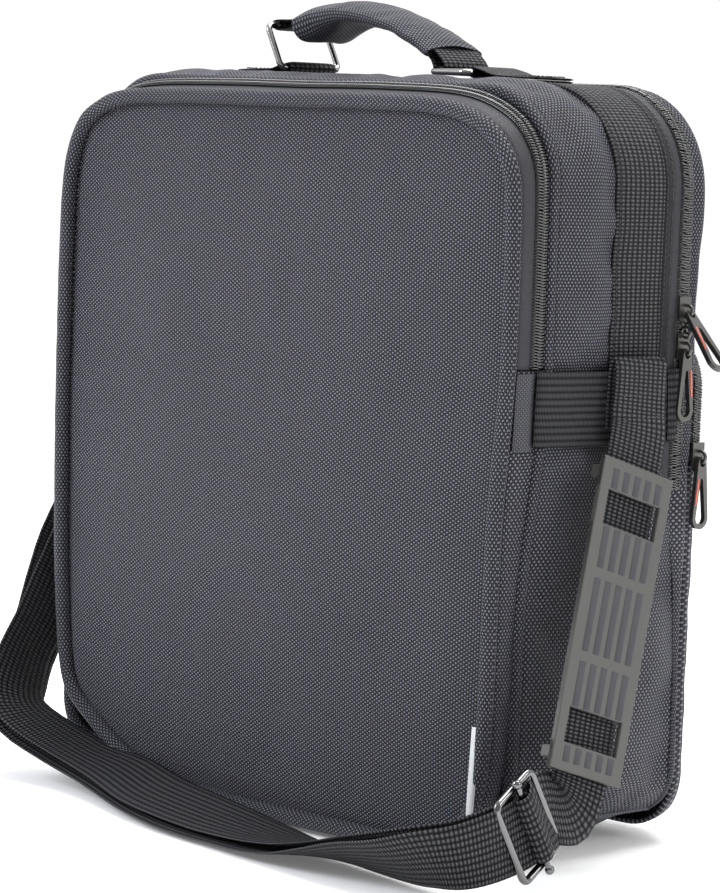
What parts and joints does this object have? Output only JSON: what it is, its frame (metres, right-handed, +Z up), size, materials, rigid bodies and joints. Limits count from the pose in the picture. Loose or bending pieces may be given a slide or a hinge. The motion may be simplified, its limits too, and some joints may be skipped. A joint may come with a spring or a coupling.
{
  "type": "flight bag",
  "caption": "Soft-sided flight bag with zipped front, main and back compartments, wire-ring grip handle and webbing shoulder strap.",
  "frame": {"origin": "under the middle of the bag, on the surface it stands on", "axes": "+X to the bag's right side, -Y out of its front, +Z up"},
  "size_m": [0.4261, 0.2606, 0.4325],
  "materials": {
    "ballistic_fabric": "ballistic basket weave, slight sheen",
    "dark_fabric": "plain weave",
    "trim_fabric": "twill",
    "webbing": "ribbed webbing",
    "zip_tape": "smooth tape",
    "zip_coil": "satin nylon coil",
    "zip_metal": "satin gunmetal",
    "gunmetal_wire": "polished gunmetal",
    "nickel_wire": "polished nickel",
    "rubber": "satin moulded",
    "foam": "closed-cell foam",
    "label": "woven satin"
  },
  "bodies": {
    "bag": {"bottom_panel": "dark_fabric", "bottom_board": "foam", "dividing_wall": "ballistic_fabric", "dividing_foam": "foam", "main_gusset": "ballistic_fabric", "main_piping": "ballistic_fabric", "top_band": "webbing", "cross_band_right": "webbing", "cross_band_left": "webbing", "binding_strip": "trim_fabric", "main_chain_front": "zip_coil", "main_chain_rear_lower": "zip_coil", "rear_wall": "ballistic_fabric", "front_web": "dark_fabric", "front_gusset": "ballistic_fabric", "front_panel_lower": "ballistic_fabric", "front_piping_lower": "ballistic_fabric", "zip_tab_right": "trim_fabric", "zip_tab_left": "trim_fabric", "front_chain_body": "zip_coil", "seam_label": "label", "back_pocket": "ballistic_fabric", "back_chain_body": "zip_coil", "handle_anchors": "webbing", "strap_anchor_right": "webbing", "strap_anchor_left": "webbing", "strap_ring": "nickel_wire", "strap_single": "webbing", "strap_outer": "webbing", "strap_inner": "webbing", "adjuster_frame": "gunmetal_wire"},
    "front_flap": {"front_panel_upper": "ballistic_fabric", "front_foam": "foam", "front_piping_upper": "ballistic_fabric", "front_tape": "zip_tape", "front_chain_flap": "zip_coil"},
    "lid": {"lid_panel": "ballistic_fabric", "lid_foam": "foam", "main_chain_lid": "zip_coil"},
    "pocket_flap": {"back_flap": "ballistic_fabric", "back_chain_flap": "zip_coil"},
    "slider_front": {"front_slider": "zip_metal"},
    "pull_front": {"front_pull": "zip_metal"},
    "slider_main_upper": {"main_slider_upper": "zip_metal"},
    "pull_main_upper": {"main_pull_upper": "zip_metal"},
    "slider_main_lower": {"main_slider_lower": "zip_metal"},
    "pull_main_lower": {"main_pull_lower": "zip_metal"},
    "slider_back": {"back_slider": "zip_metal"},
    "pull_back": {"back_pull": "zip_metal"},
    "left_ring": {"ring_left": "nickel_wire"},
    "right_ring": {"ring_right": "nickel_wire"},
    "grip": {"handle_webbing": "webbing", "grip_sleeve": "trim_fabric"},
    "pad": {"shoulder_pad": "rubber"},
    "bar": {"adjuster_bar": "gunmetal_wire"}
  },
  "joints": [
    {"name": "front_flap_hinge", "type": "hinge", "parent": "bag", "child": "front_flap", "pos_m": [0, -0.094, 0.2528], "axis": [1, 0, 0], "range_deg": [0, 95]},
    {"name": "lid_hinge", "type": "hinge", "parent": "bag", "child": "lid", "pos_m": [0, 0.0476, 0.2742], "axis": [-1, 0, 0], "range_deg": [0, 80]},
    {"name": "pocket_flap_hinge", "type": "hinge", "parent": "bag", "child": "pocket_flap", "pos_m": [0, 0.0836, 0.2038], "axis": [-1, 0, 0], "range_deg": [0, 45]},
    {"name": "front_slider_slide", "type": "slide", "parent": "bag", "child": "slider_front", "axis": [0, 0, 1], "range_m": [0, 0.06]},
    {"name": "front_pull_swing", "type": "hinge", "parent": "slider_front", "child": "pull_front", "pos_m": [-0.1794, -0.0727, 0.2655], "axis": [0, 1, 0], "range_deg": [0, 135]},
    {"name": "main_slider_upper_slide", "type": "slide", "parent": "bag", "child": "slider_main_upper", "axis": [0, 0, 1], "range_m": [0, 0.05]},
    {"name": "main_pull_upper_swing", "type": "hinge", "parent": "slider_main_upper", "child": "pull_main_upper", "pos_m": [0.1814, 0.0336, 0.2815], "axis": [0, -1, 0], "range_deg": [0, 100]},
    {"name": "main_slider_lower_slide", "type": "slide", "parent": "bag", "child": "slider_main_lower", "axis": [0, 0, 1], "range_m": [-0.06, 0]},
    {"name": "main_pull_lower_swing", "type": "hinge", "parent": "slider_main_lower", "child": "pull_main_lower", "pos_m": [0.1814, 0.0336, 0.262], "axis": [0, -1, 0], "range_deg": [0, 60]},
    {"name": "back_slider_slide", "type": "slide", "parent": "bag", "child": "slider_back", "axis": [0, 0, 1], "range_m": [0, 0.03]},
    {"name": "back_pull_swing", "type": "hinge", "parent": "slider_back", "child": "pull_back", "pos_m": [0.1805, 0.0506, 0.205], "axis": [0, -1, 0], "range_deg": [0, 150]},
    {"name": "right_ring_hinge", "type": "hinge", "parent": "bag", "child": "right_ring", "pos_m": [0.0715, -0.003, 0.40045], "axis": [0, 1, 0], "range_deg": [0, 25]},
    {"name": "left_ring_hinge", "type": "hinge", "parent": "bag", "child": "left_ring", "pos_m": [-0.0715, -0.003, 0.40045], "axis": [0, 1, 0], "range_deg": [0, 1.38]},
    {"name": "grip_hinge", "type": "hinge", "parent": "left_ring", "child": "grip", "pos_m": [-0.08371, -0.003, 0.42341], "axis": [0, 1, 0], "range_deg": [-5.88, 0]},
    {"name": "pad_slide", "type": "slide", "parent": "bag", "child": "pad", "axis": [0.1102, -0.3141, -0.943], "range_m": [-0.014, 0]},
    {"name": "adjuster_bar_slide", "type": "slide", "parent": "bag", "child": "bar", "axis": [0.117, -0.8581, -0.5], "range_m": [-0.006, 0.006]}
  ],
  "couplings": [
    {"joint": "left_ring_hinge", "follows": "right_ring_hinge", "ratio": 0.055},
    {"joint": "grip_hinge", "follows": "right_ring_hinge", "ratio": -0.235}
  ]
}
